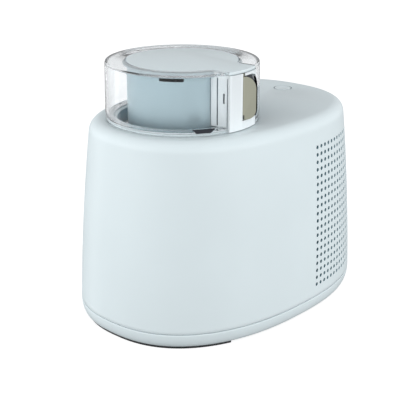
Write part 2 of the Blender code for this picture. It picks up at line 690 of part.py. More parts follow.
def make_control_board():
    plate = box((52.0, -32.0, BOARD_Z), (136.0, 32.0, BOARD_Z + BOARD_THICK))
    board = add_solid("control_board", plate, BOARD_GREEN)
    parts = [
        ((60, -26, 176), (84, -8, 193)),
        ((60, 6, 180), (76, 26, 193)),
        ((92, -24, 184), (108, -12, 193)),
    ]
    for low, high in parts:
        fuse(board, box(low, high))
    fuse(board, box((BUTTON_X - 3.0, -3.0, BOARD_Z), (BUTTON_X + 3.0, 3.0, BOARD_Z + 4.5)))
    for number, (x, y) in enumerate(((57.0, -27.0), (131.0, 26.0)), 1):
        post = disc(3.0, BOARD_Z + BOARD_THICK + GAP, BODY_TOP - WALL - GAP, 10)
        add_solid(f"board_post_{number}", post, PLASTIC_WHITE, (x, y, 0.0))


def make_compressor():
    x, y = COMPRESSOR_CENTRE
    r = COMPRESSOR_R
    shell = [
        (0.0, 18.9), (24.0, 18.9), (33.0, 22.0), (39.0, 29.0), (r, 40.0), (r, 66.0), (r + 1.2, 66.5),
        (r + 1.2, 69.5), (r, 70.0), (r, 90.0), (38.5, 102.0), (31.0, 112.0), (19.0, 117.5), (0.0, 119.0),
    ]
    add_solid("compressor", lathe(shell, 24), ENAMEL_BLACK, (x, y, 0.0))
    plate = add_solid("compressor_plate", box((-36.0, -36.0, 16.1), (36.0, 36.0, 18.6)), STEEL, (x, y, 0.0))
    corners = [(-30.0, 0.0), (26.0, -26.0), (26.0, 26.0)]
    for number, (dx, dy) in enumerate(corners, 1):
        cut(plate, disc(3.3, 10.0, 22.0, 12), (dx, dy, 0.0))
        profile = [(0.0, PAN_CLEAR_Z), (6.0, PAN_CLEAR_Z), (6.0, 15.8), (3.0, 15.8), (3.0, 19.5), (0.0, 19.5)]
        add_solid(f"grommet_{number}", lathe(profile, 12), RUBBER, (x + dx, y + dy, 0.0))


def make_condenser():
    """Fin block between two end plates, with return bends at one end."""
    near_x, far_x = CONDENSER_X
    end_plate = 4.0
    body = box((near_x, 66.0, PAN_CLEAR_Z), (far_x, 82.0, CONDENSER_TOP))
    block = add_solid("condenser", body, ALUMINIUM)
    for row in range(9):
        z = 14.0 + 13.0 * row
        for low, high in ((60.0, 68.5), (79.5, 90.0)):
            cut(block, box((near_x + end_plate, low, z), (far_x - end_plate, high, z + 6.0)))


def make_fan():
    x, y, z = FAN_CENTRE
    near_x, far_x = SHROUD_X
    panel = box((near_x, 59.5, PAN_CLEAR_Z), (far_x, 62.5, CONDENSER_TOP))
    shroud = add_solid("fan_shroud", panel, PLASTIC_BLACK)
    cut(shroud, lying(disc(FAN_R + 2.5, 50.0, 70.0, 32)), (x, 0.0, z))
    pivot = add_empty("fan_axis", (x, y, z))
    hub = lying(disc(13.0, -5.0, 6.0, 20))
    fan = add_solid("fan_rotor", hub, PLASTIC_BLACK, parent=pivot)
    for blade in range(5):
        fuse(fan, fan_blade(math.tau * blade / 5))
    cut(fan, lying(disc(2.3, -10.0, 1.0, 10)))
    motor = [(0.0, -30.0), (15.0, -30.0), (15.0, -7.0), (2.0, -7.0), (2.0, 0.6), (0.0, 0.6)]
    add_solid("fan_motor", lying(lathe(motor, 20)), STEEL, (x, y, z))
    bracket = add_solid("fan_bracket", box((x - 12.0, 24.0, PAN_CLEAR_Z), (x + 12.0, 38.0, z)), STEEL)
    cut(bracket, lying(disc(15.3, 10.0, 50.0, 20)), (x, 0.0, z))


def fan_blade(bearing):
    """Pitched blade from the hub out to the fan's radius."""
    rings = []
    for radius, pitch in ((11.0, 38.0), (24.0, 30.0), (FAN_R, 22.0)):
        half = 4.0 + radius * 0.28
        tilt = math.radians(pitch)
        points = []
        for u, v in ((-half, -0.8), (half, -0.8), (half, 0.8), (-half, 0.8)):
            across = u * math.cos(tilt) - v * math.sin(tilt)
            along = u * math.sin(tilt) * 0.55 + v * math.cos(tilt)
            points.append((radius, along, across))
        rings.append(points)
    blade = skin(rings, close_ends=True)
    bmesh.ops.rotate(blade, verts=blade.verts, matrix=Matrix.Rotation(bearing, 3, "Y"))
    return blade


def make_pipes():
    """Refrigerant round trip: compressor, condenser, drier, capillary, evaporator, compressor."""
    drier = [
        (0.0, 60.0), (3.0, 60.0), (4.0, 63.0), (9.0, 70.0),
        (9.0, 118.0), (4.0, 125.0), (3.0, 128.0), (0.0, 128.0),
    ]
    add_solid("filter_drier", lathe(drier, 16), COPPER, (134.0, 22.0, 0.0))
    discharge = [
        (96.0, -5.5, 84.0), (99.0, 2.0, 86.0), (112.0, 20.0, 100.0),
        (118.0, 44.0, 118.0), (117.0, 66.0, 120.0), (110.4, 74.0, 116.0),
    ]
    add_tube("discharge_pipe", smooth_route(discharge), 2.4, COPPER)
    liquid = [
        (110.0, 72.0, 44.0), (116.0, 66.0, 43.0), (126.0, 46.0, 42.0), (133.0, 27.0, 48.0), (134.0, 22.0, 59.2),
    ]
    add_tube("liquid_pipe", smooth_route(liquid), 2.0, COPPER)
    capillary = [
        (134.0, 22.0, 128.8), (134.0, 20.0, 140.0), (110.0, 14.0, 150.0), (60.0, 10.0, 150.0),
        (34.0, 10.0, 120.0), (28.0, 10.0, 98.0), (17.0, 8.0, 92.5), (10.6, 2.5, 92.0),
    ]
    add_tube("capillary_tube", smooth_route(capillary), 1.2, COPPER)
    suction = [
        (10.6, -5.0, 186.0), (14.0, -10.0, 186.0), (32.0, -16.0, 180.0), (38.0, -30.0, 150.0),
        (60.0, -44.0, 128.0), (78.0, -45.0, 126.0), (78.0, -45.0, 121.0),
    ]
    add_tube("suction_pipe", smooth_route(suction), 3.0, COPPER)


def make_power_inlet():
    """Recessed mains socket with two pins, in the wall on the +Y side."""
    body = box((-14.0, 100.0, INLET_Z - 11.0), (14.0, 120.0, INLET_Z + 11.0))
    inlet = add_solid("power_inlet", body, PLASTIC_BLACK)
    cut(inlet, box((-11.0, 104.0, INLET_Z - 7.5), (11.0, 125.0, INLET_Z + 7.5)))
    for x in (-4.5, 4.5):
        fuse(inlet, lying(disc(1.3, 102.0, 117.0, 8)), (x, 0.0, INLET_Z))


def build():
    clear_scene()
    make_housing()
    make_base_pan()
    make_base_screws()
    make_feet()
    well_axis = add_empty("well_axis", (LID_X, 0.0, 0.0))
    make_well(well_axis)
    make_bowl(well_axis)
    make_seal(well_axis)
    lid_axis = add_empty("lid_axis", (LID_X, 0.0, 0.0), LID_TURN_REST)
    make_clear_cover(lid_axis)
    make_lock_lug(lid_axis)
    make_drum(lid_axis)
    make_arm_block(lid_axis)
    make_top_cap(lid_axis)
    make_contact_block(lid_axis)
    add_drive(lid_axis)
    make_paddle(lid_axis)
    make_tab_backing(lid_axis)
    make_tab(lid_axis)
    make_button()
    make_control_board()
    make_compressor()
    make_condenser()
    make_fan()
    make_pipes()
    make_power_inlet()


build()
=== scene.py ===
"""Looks of the self-cooling ice cream maker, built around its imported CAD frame.

Shapes are drawn in millimetres and become metres when a piece is made. +X points towards the button
and -Y towards the user. The lid's pieces are drawn about the lid's own axis, with the arm along -Y.
"""

import json
import math
from bisect import bisect_left

import bmesh
import bpy
from mathutils import Matrix, Vector


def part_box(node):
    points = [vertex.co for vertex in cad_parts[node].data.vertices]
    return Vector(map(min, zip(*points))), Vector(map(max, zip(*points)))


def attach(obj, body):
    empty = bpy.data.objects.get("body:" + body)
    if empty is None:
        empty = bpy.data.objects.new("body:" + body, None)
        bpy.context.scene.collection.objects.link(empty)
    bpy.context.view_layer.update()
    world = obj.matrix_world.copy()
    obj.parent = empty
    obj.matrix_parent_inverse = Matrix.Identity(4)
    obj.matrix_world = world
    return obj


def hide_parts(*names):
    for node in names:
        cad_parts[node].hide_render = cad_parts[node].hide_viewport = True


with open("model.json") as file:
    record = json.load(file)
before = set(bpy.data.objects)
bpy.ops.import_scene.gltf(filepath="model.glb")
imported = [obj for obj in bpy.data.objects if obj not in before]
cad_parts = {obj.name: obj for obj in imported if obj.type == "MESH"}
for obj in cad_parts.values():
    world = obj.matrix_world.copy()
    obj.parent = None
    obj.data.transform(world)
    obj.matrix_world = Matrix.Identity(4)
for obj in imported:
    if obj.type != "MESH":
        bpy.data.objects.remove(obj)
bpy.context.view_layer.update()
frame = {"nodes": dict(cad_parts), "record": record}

MM = 0.001
GAP = 0.3


def spot(node, end, axis):
    """One side of a CAD node's box, in millimetres."""
    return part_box(node)[end][axis] / MM


# Driving dimensions, read from the frame where it has them -----------------------------------------
OVAL_A = spot("base_pan", 1, 0)
OVAL_B = 121.3
OVAL_POWER = 2.374
OVAL_EGG = 0.033
SEAM_Z = spot("base_pan", 1, 2) + GAP
BODY_TOP = spot("housing", 1, 2)
BASE_Z = spot("base_pan", 0, 2)
BASE_INSET = 5.7
SHOULDER_R = 13.2
SHOULDER_Z = BODY_TOP - SHOULDER_R
TAPER_LINEAR = 0.048
TAPER_SQUARE = 0.044
WALL = 3.0
SCREW_INSET = 13.8
FOOT_HALF_ANGLE = 58.8

LID_X = (spot("ice_bowl", 0, 0) + spot("ice_bowl", 1, 0)) / 2
LID_TURN = math.radians(3.5)
LID_R = 80.0
LID_FOOT = spot("clear_cover", 0, 2)
LID_TOP = spot("clear_cover", 1, 2)
CLEAR_WALL = 2.9
DRUM_R = 56.9
DRUM_BOTTOM = spot("drum_housing", 0, 2)
CAP_R = 58.1
ARM_HALF = 21.5
WELL_HOLE_R = 75.0
COLLAR_TOP = spot("well_collar", 1, 2)
LUG_TURN = math.radians(-35.5)
TAB_AXIS_R = 78.2
TAB_AXIS_ANGLE = math.radians(-91.8)
TAB_LOW = spot("thumb_tab", 0, 2)
TAB_HIGH = spot("thumb_tab", 1, 2)
TAB_WIDTH = 15.5
TAB_LOW_CORNER = 8.5
TAB_TOP_CORNER = 15.0
TAB_AJAR = math.radians(17.0)
POCKET_R = 75.6
POCKET_END = -69.0
POCKET_CORNERS = (8.0, 20.0)
LUG_LOW = spot("lock_lug", 0, 2)
LUG_HIGH = spot("lock_lug", 1, 2)

BUTTON_X = (spot("power_button", 0, 0) + spot("power_button", 1, 0)) / 2
BUTTON_R = 9.4
INLET_Z = (spot("power_inlet", 0, 2) + spot("power_inlet", 1, 2)) / 2

# Side perforations: square grid of round holes, leaning a little towards +X with height
HOLE_R = 2.0
HOLE_ROWS = 20
HOLE_COLUMNS = 17
ROW_PITCH = 8.0
COLUMN_PITCH = 7.55
FIRST_ROW_Z = 32.1
FIRST_COLUMN = 24.1
COLUMN_LEAN = 4.0
HOLE_SIDES = 12

LID_PLACE = Matrix.Translation((LID_X, 0.0, 0.0)) @ Matrix.Rotation(LID_TURN, 4, "Z")
WELL_PLACE = Matrix.Translation((LID_X, 0.0, 0.0))
WORLD = Matrix.Identity(4)


# Materials -----------------------------------------------------------------------------------------

class Nodes:
    """Short names for making and linking the nodes of one material."""

    def __init__(self, name):
        self.material = bpy.data.materials.new(name)
        self.material.use_nodes = True
        self.tree = self.material.node_tree
        self.shader = self.tree.nodes["Principled BSDF"]
        coordinates = self.add("ShaderNodeTexCoord")
        self.place = coordinates.outputs["Object"]

    def add(self, kind, **values):
        node = self.tree.nodes.new(kind)
        for key, value in values.items():
            socket = node.inputs.get(key.replace("_", " "))
            if socket is not None:
                socket.default_value = value
            else:
                setattr(node, key, value)
        return node

    def link(self, output, target):
        self.tree.links.new(output, target)

    def stretched(self, scale):
        mapping = self.add("ShaderNodeMapping")
        mapping.inputs["Scale"].default_value = scale
        self.link(self.place, mapping.inputs["Vector"])
        return mapping.outputs["Vector"]

    def noise(self, scale, detail=3.0, stretch=None):
        node = self.add("ShaderNodeTexNoise", Scale=scale, Detail=detail)
        self.link(self.stretched(stretch) if stretch else self.place, node.inputs["Vector"])
        return node.outputs["Fac"]

    def spread(self, value, low, high, from_low=0.3, from_high=0.7):
        node = self.add("ShaderNodeMapRange")
        limits = {"From Min": from_low, "From Max": from_high, "To Min": low, "To Max": high}
        for key, number in limits.items():
            node.inputs[key].default_value = number
        self.link(value, node.inputs["Value"])
        return node.outputs["Result"]

    def blend(self, factor, first, second):
        node = self.add("ShaderNodeMix", data_type="RGBA")
        for socket, colour in ((node.inputs[6], first), (node.inputs[7], second)):
            if isinstance(colour, tuple):
                socket.default_value = (*colour, 1.0)
            else:
                self.link(colour, socket)
        self.link(factor, node.inputs[0])
        return node.outputs[2]

    def bump(self, height, strength, distance):
        node = self.add("ShaderNodeBump", Strength=strength, Distance=distance)
        self.link(height, node.inputs["Height"])
        self.link(node.outputs["Normal"], self.shader.inputs["Normal"])


def tint(colour, share):
    return tuple(min(max(c * (1 + share), 0.0), 1.0) for c in colour)


def plastic(name, colour, rough, vary=0.02, grain=2600.0, depth=0.00003, painted_edge_highlight=0.10, **sockets):
    """Moulded plastic: faint broad variation, a fine moulded grain and slightly paler edges, a painted
    highlight.
    """
    n = Nodes(name)
    broad = n.noise(9.0)
    colours = n.blend(n.spread(broad, 0.0, 1.0), tint(colour, -vary), tint(colour, vary))
    # Paler colour on sharp edges, found by Pointiness: a painted highlight along the edges
    edges = n.spread(n.add("ShaderNodeNewGeometry").outputs["Pointiness"], 0.0, 1.0, 0.53, 0.62)
    n.link(n.blend(edges, colours, tint(colour, painted_edge_highlight)), n.shader.inputs["Base Color"])
    n.link(n.spread(n.noise(30.0), rough - 0.03, rough + 0.04), n.shader.inputs["Roughness"])
    n.bump(n.noise(grain, 2.0), 0.25, depth)
    for key, value in sockets.items():
        n.shader.inputs[key.replace("_", " ")].default_value = value
    return n.material


def metal(name, colour, rough, vary=0.05, stretch=(1.0, 1.0, 40.0), scale=120.0, tarnish=0.1):
    """Drawn or turned metal: fine parallel marks, cloudy tarnish and brighter edges, a painted highlight."""
    n = Nodes(name)
    marks = n.noise(scale, 4.0, stretch)
    clouds = n.spread(n.noise(25.0), 0.0, 1.0, 0.45, 0.75)
    colours = n.blend(n.spread(marks, 0.0, 1.0), tint(colour, -vary), tint(colour, vary))
    # Brighter colour on sharp edges, found by Pointiness: a painted highlight along the edges
    edges = n.spread(n.add("ShaderNodeNewGeometry").outputs["Pointiness"], 0.0, 1.0, 0.53, 0.6)
    aged = n.blend(clouds, colours, tint(colour, -tarnish))
    n.link(n.blend(edges, aged, tint(colour, 0.25)), n.shader.inputs["Base Color"])
    n.link(n.spread(marks, rough - 0.06, rough + 0.08), n.shader.inputs["Roughness"])
    n.bump(marks, 0.3, 0.00003)
    n.shader.inputs["Metallic"].default_value = 1.0
    return n.material


def clear_plastic(name, colour, rough, ior):
    """Clear moulded plastic with faint flow marks, which absorbs a little light along its thickness."""
    n = Nodes(name)
    clouds = n.spread(n.noise(20.0), 0.0, 1.0)
    n.link(n.blend(clouds, tint(colour, -0.01), colour), n.shader.inputs["Base Color"])
    n.link(n.spread(n.noise(45.0), rough, rough + 0.03), n.shader.inputs["Roughness"])
    n.bump(n.noise(60.0, 1.0), 0.08, 0.0001)
    settings = {"Transmission Weight": 1.0, "IOR": ior, "Coat Weight": 0.5, "Coat Roughness": 0.02}
    for key, value in settings.items():
        n.shader.inputs[key].default_value = value
    absorb = n.add("ShaderNodeVolumeAbsorption", Density=CLEAR_DENSITY)
    absorb.inputs["Color"].default_value = (*CLEAR_TINT, 1.0)
    n.link(absorb.outputs["Volume"], n.tree.nodes["Material Output"].inputs["Volume"])
    return n.material


def foam_material():
    """Cut polyurethane foam: small open cells."""
    n = Nodes("foam_cells")
    cells = n.add("ShaderNodeTexVoronoi", Scale=700.0)
    n.link(n.place, cells.inputs["Vector"])
    shade = n.spread(cells.outputs["Distance"], 0.0, 1.0, 0.0, 0.8)
    n.link(n.blend(shade, (0.62, 0.54, 0.33), (0.85, 0.79, 0.60)), n.shader.inputs["Base Color"])
    n.link(n.spread(n.noise(80.0), 0.8, 0.95), n.shader.inputs["Roughness"])
    n.bump(cells.outputs["Distance"], 0.6, 0.0006)
    return n.material


def board_material():
    """Green solder mask over copper tracks, with pale pads."""
    n = Nodes("printed_board")
    tracks = n.add("ShaderNodeTexBrick", Scale=130.0, Mortar_Size=0.02)
    tracks.inputs["Color1"].default_value = (0.012, 0.11, 0.045, 1.0)
    tracks.inputs["Color2"].default_value = (0.018, 0.16, 0.06, 1.0)
    tracks.inputs["Mortar"].default_value = (0.05, 0.26, 0.10, 1.0)
    n.link(n.place, tracks.inputs["Vector"])
    pads = n.add("ShaderNodeTexVoronoi", Scale=170.0)
    n.link(n.place, pads.inputs["Vector"])
    pad = n.spread(pads.outputs["Distance"], 1.0, 0.0, 0.12, 0.16)
    n.link(n.blend(pad, tracks.outputs["Color"], (0.6, 0.6, 0.58)), n.shader.inputs["Base Color"])
    n.link(n.spread(pads.outputs["Distance"], 0.25, 0.45, 0.1, 0.3), n.shader.inputs["Roughness"])
    n.bump(tracks.outputs["Fac"], 0.2, 0.0001)
    return n.material


MINT = (0.675, 0.755, 0.778)
CLEAR_DENSITY = 14.0
CLEAR_TINT = (0.30, 0.36, 0.44)
LOOKS = {
    "body_plastic": plastic("mint_satin", MINT, 0.36),
    "drum_plastic": plastic("drum_pearl", (0.36, 0.465, 0.505), 0.36, vary=0.03, Metallic=0.5),
    "white_plastic": plastic("arm_white", (0.72, 0.765, 0.785), 0.38),
    "clear_plastic": clear_plastic("cover_clear", (0.985, 0.995, 0.998), 0.01, 1.20),
    # Black plastic, also used as painted shade inside the drum and behind the tab
    "black_plastic": plastic("black_plastic_and_painted_shade", (0.018, 0.020, 0.027), 0.45, vary=0.2),
    "nylon": plastic("nylon_natural", (0.80, 0.79, 0.72), 0.45, vary=0.04),
    "rubber": plastic("foot_rubber", (0.026, 0.027, 0.030), 0.75, vary=0.2, grain=1500.0, depth=0.0001),
    "silicone": plastic("seal_silicone", (0.74, 0.79, 0.81), 0.55),
    "aluminium": metal("bowl_aluminium", (0.74, 0.75, 0.76), 0.30),
    "steel": metal("plain_steel", (0.50, 0.51, 0.53), 0.36),
    "copper": metal("pipe_copper", (0.72, 0.36, 0.20), 0.30, vary=0.12, tarnish=0.45),
    "brass": metal("turned_brass", (0.72, 0.54, 0.26), 0.32),
    "gold_metal": metal("champagne_gold", (0.45, 0.45, 0.36), 0.36, stretch=(1.0, 1.0, 0.05), scale=1500.0),
    "foam": foam_material(),
    "black_enamel": plastic("shell_enamel", (0.012, 0.012, 0.014), 0.28, vary=0.25, Coat_Weight=0.5),
    "circuit_board": board_material(),
}
# Darker teal for the well collar's inner wall: painted shade down in the well
WELL_WALL_SHADE_PAINT = plastic("well_wall_painted_shade", (0.13, 0.35, 0.45), 0.42, vary=0.08)
HOLE_SHADE = plastic("hole_wall", (0.11, 0.20, 0.24), 0.55)
# Dark grey for the seam, the button's gap, the arm's grooves and the cap's disc edge: painted shade in gaps
GAP_SHADE_PAINT = plastic("gap_painted_shade", (0.15, 0.20, 0.23), 0.45)


# Mesh tools ----------------------------------------------------------------------------------------

def polar(radius, angle, z=None):
    flat = (radius * math.cos(angle), radius * math.sin(angle))
    return flat if z is None else (*flat, z)


def arc(centre, radius, start, end, steps):
    """Points on an arc from one angle to another, in degrees."""
    points = []
    for i in range(steps + 1):
        angle = math.radians(start + (end - start) * i / steps)
        points.append((centre[0] + radius * math.cos(angle), centre[1] + radius * math.sin(angle)))
    return points


def rounded(loop, radius, steps=4):
    """A closed loop of 2-D points with rounded corners. A point's third number is its own radius."""
    result = []
    count = len(loop)
    for i, point in enumerate(loop):
        here = Vector(point[:2])
        before, after = Vector(loop[i - 1][:2]), Vector(loop[(i + 1) % count][:2])
        wanted = point[2] if len(point) > 2 else radius
        to_before, to_after = before - here, after - here
        cosine = max(-1.0, min(1.0, to_before.normalized().dot(to_after.normalized())))
        half = math.acos(cosine) / 2
        if wanted <= 0.0 or half > math.radians(86.0):
            result.append(tuple(here))
            continue
        reach = min(wanted / math.tan(half), 0.48 * to_before.length, 0.48 * to_after.length)
        start, end = here + to_before.normalized() * reach, here + to_after.normalized() * reach
        for k in range(steps + 1):
            t = k / steps
            result.append(tuple((1 - t) ** 2 * start + 2 * t * (1 - t) * here + t * t * end))
    return result


def skin(rings, close_ends=True):
    """Solid through rings of points: capped at both ends, or closed from the last ring to the first."""
    solid = bmesh.new()
    loops = [[solid.verts.new(point) for point in ring] for ring in rings]
    count = len(loops[0])
    pairs = list(zip(loops, loops[1:]))
    if not close_ends:
        pairs.append((loops[-1], loops[0]))
    for low, high in pairs:
        for i in range(count):
            j = (i + 1) % count
            solid.faces.new((low[i], low[j], high[j], high[i]))
    if close_ends:
        solid.faces.new(loops[0])
        solid.faces.new(loops[-1])
    return solid


def lathe(profile, segments=128):
    """Solid turned about Z from a closed loop of (radius, z) points, which may touch the axis."""
    solid = bmesh.new()
    loops = []
    for radius, z in profile:
        if radius < 1e-6:
            loops.append([solid.verts.new((0.0, 0.0, z))])
        else:
            points = [polar(radius, math.tau * i / segments, z) for i in range(segments)]
            loops.append([solid.verts.new(point) for point in points])
    for here, there in zip(loops, loops[1:] + loops[:1]):
        for i in range(segments):
            j = (i + 1) % segments
            near = [here[i % len(here)], here[j % len(here)]]
            far = [there[j % len(there)], there[i % len(there)]]
            unique = list(dict.fromkeys(near + far))
            if len(unique) > 2:
                solid.faces.new(unique)
    return solid


def prism(outline, low, high):
    return skin([[(x, y, z) for x, y in outline] for z in (low, high)])


def box(low, high, radius=0.0):
    """Box with upright edges, rounded if a radius is given."""
    outline = [(low[0], low[1]), (high[0], low[1]), (high[0], high[1]), (low[0], high[1])]
    return prism(rounded(outline, radius, 5) if radius else outline, low[2], high[2])


def ring(inner, outer, low, high, segments=128):
    return lathe([(inner, low), (outer, low), (outer, high), (inner, high)], segments)


def disc(radius, low, high, segments=32):
    return lathe([(0.0, low), (radius, low), (radius, high), (0.0, high)], segments)


def turned(solid, matrix):
    bmesh.ops.transform(solid, matrix=matrix, verts=solid.verts)
    return solid


def lying(solid):
    """Turn a solid drawn along +Z so that it lies along +Y."""
    return turned(solid, Matrix.Rotation(math.radians(-90.0), 4, "X"))


def to_object(name, solid, place=WORLD):
    """An object in metres from a solid drawn in millimetres, with its vertices moved to their place."""
    bmesh.ops.recalc_face_normals(solid, faces=solid.faces)
    solid.transform(Matrix.Scale(MM, 4) @ place)
    mesh = bpy.data.meshes.new(name)
    solid.to_mesh(mesh)
    solid.free()
    made = bpy.data.objects.new(name, mesh)
    bpy.context.scene.collection.objects.link(made)
    return made


def carve(solid, cutters, joined=()):
    """The solid with cutters taken out and others joined on, all drawn in the same frame."""
    made = to_object("work", solid)
    for _ in range(3):
        made.data.materials.append(None)
    helpers = []
    for operation, group in (("UNION", joined), ("DIFFERENCE", cutters)):
        for shape in group:
            helper = to_object("cutter", shape)
            step = made.modifiers.new("cut", "BOOLEAN")
            step.operation = operation
            step.object = helper
            helpers.append(helper)
    bpy.context.view_layer.update()
    result = bmesh.new()
    result.from_object(made, bpy.context.evaluated_depsgraph_get())
    result.transform(Matrix.Scale(1 / MM, 4))
    for item in [made, *helpers]:
        bpy.data.objects.remove(item, do_unlink=True)
    return result


def piece(name, solid, body, slot, place=WORLD, replaces=(), bevel=0.0, angle=32.0, looks=()):
    """Finish one piece: its edges, shading, material, body and the CAD nodes that it stands for."""
    made = to_object(name, solid, place)
    for look in looks or (LOOKS[slot],):
        made.data.materials.append(look)
    if bevel:
        edges = made.modifiers.new("edges", "BEVEL")
        edges.width = bevel * MM
        edges.segments = 3
        edges.limit_method = "ANGLE"
        edges.angle_limit = math.radians(angle)
        edges.harden_normals = False
    made.data.shade_smooth()
    made.data.set_sharp_from_angle(angle=math.radians(angle))
    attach(made, body)
    if replaces:
        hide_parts(*replaces)
    return made


# Barrel --------------------------------------------------------------------------------------------

def oval_point(angle, scale=1.0, inset=0.0):
    """A point of the barrel's outline: the superellipse, scaled and then moved in by inset."""
    c, s = math.cos(angle), math.sin(angle)
    along = math.copysign(abs(c) ** (2 / OVAL_POWER), c)
    across = math.copysign(abs(s) ** (2 / OVAL_POWER), s)
    a = OVAL_A * scale - inset
    b = OVAL_B * scale - inset
    return (a * along, b * across * (1 + OVAL_EGG * along))


def taper(z):
    """Scale of the barrel at a height, 1 at the seam."""
    t = min(max((z - SEAM_Z) / (SHOULDER_Z - SEAM_Z), 0.0), 1.0)
    return 1 - TAPER_LINEAR * t - TAPER_SQUARE * t * t


def arc_table():
    """Arc length of the half outline on the -Y side, from the -X tip to the +X tip, zero at -Y."""
    steps = 3000
    angles = [math.pi + math.pi * i / steps for i in range(steps + 1)]
    points = [Vector(oval_point(a)) for a in angles]
    lengths = [0.0]
    for here, there in zip(points, points[1:]):
        lengths.append(lengths[-1] + (there - here).length)
    middle = lengths[steps // 2]
    return angles, [length - middle for length in lengths]


ARC_ANGLES, ARC_LENGTHS = arc_table()


def angle_at(length):
    """Outline angle at an arc length from the -Y side."""
    if length <= ARC_LENGTHS[0]:
        return ARC_ANGLES[0]
    if length >= ARC_LENGTHS[-1]:
        return ARC_ANGLES[-1]
    k = bisect_left(ARC_LENGTHS, length)
    low, high = ARC_LENGTHS[k - 1], ARC_LENGTHS[k]
    share = (length - low) / (high - low)
    return ARC_ANGLES[k - 1] + (ARC_ANGLES[k] - ARC_ANGLES[k - 1]) * share


def wall_point(length, z, inset=0.0, mirror=1.0):
    x, y = oval_point(angle_at(length), taper(z), inset)
    return (x, y * mirror, z)


def column_lines(z):
    """Arc lengths of the wall's upright grid lines at one height: plain, perforated, plain."""
    plain_left, plain_right = 60, 18
    height = min(max(z, FIRST_ROW_Z), FIRST_ROW_Z + ROW_PITCH * (HOLE_ROWS - 1))
    share = (height - FIRST_ROW_Z) / (ROW_PITCH * (HOLE_ROWS - 1))
    scale = taper(height)
    first = (FIRST_COLUMN + COLUMN_LEAN * share - COLUMN_PITCH / 2) / scale
    step = COLUMN_PITCH / scale
    last = first + step * HOLE_COLUMNS
    start, end = ARC_LENGTHS[0], ARC_LENGTHS[-1]
    lines = [start + (first - start) * i / plain_left for i in range(plain_left)]
    lines += [first + step * i for i in range(HOLE_COLUMNS)]
    lines += [last + (end - last) * i / plain_right for i in range(plain_right + 1)]
    return lines, range(plain_left, plain_left + HOLE_COLUMNS)


def wall_ring(z, inset):
    """One level of the wall: the -Y half, then its mirror image back to the start."""
    lines, _ = column_lines(z)
    front = [wall_point(s, z, inset) for s in lines]
    back = [wall_point(s, z, inset, -1.0) for s in reversed(lines[1:-1])]
    return front + back


def hole_ring(solid, column, z, radius, inset, mirror):
    """Vertices around one perforation, at a depth in the wall."""
    lines, _ = column_lines(z)
    centre = (lines[column] + lines[column + 1]) / 2
    scale = taper(z)
    verts = []
    for k in range(HOLE_SIDES):
        angle = math.tau * k / HOLE_SIDES
        length = centre + radius * math.cos(angle) / scale
        verts.append(solid.verts.new(wall_point(length, z + radius * math.sin(angle), inset, mirror)))
    return verts


def ring_between(solid, first, second, look=0):
    count = len(first)
    for k in range(count):
        m = (k + 1) % count
        solid.faces.new((first[k], first[m], second[m], second[k])).material_index = look


def holed_cell(solid, corners, rim):
    """Faces between a cell's four corners (right-top, left-top, left-bottom, right-bottom) and its hole."""
    quarter = HOLE_SIDES // 4
    for side, corner in enumerate(corners):
        for k in range(quarter):
            first, second = rim[side * quarter + k], rim[(side * quarter + k + 1) % HOLE_SIDES]
            solid.faces.new((corner, first, second))
        turning = rim[((side + 1) * quarter) % HOLE_SIDES]
        solid.faces.new((corner, turning, corners[(side + 1) % 4]))


def circle(solid, centre_x, radius, z, count):
    points = [polar(radius, math.tau * i / count) for i in range(count)]
    return [solid.verts.new((centre_x + x, y, z)) for x, y in points]


def loop_edges(verts):
    found = []
    for here, there in zip(verts, verts[1:] + verts[:1]):
        for edge in here.link_edges:
            if edge.other_vert(here) is there:
                found.append(edge)
    return found


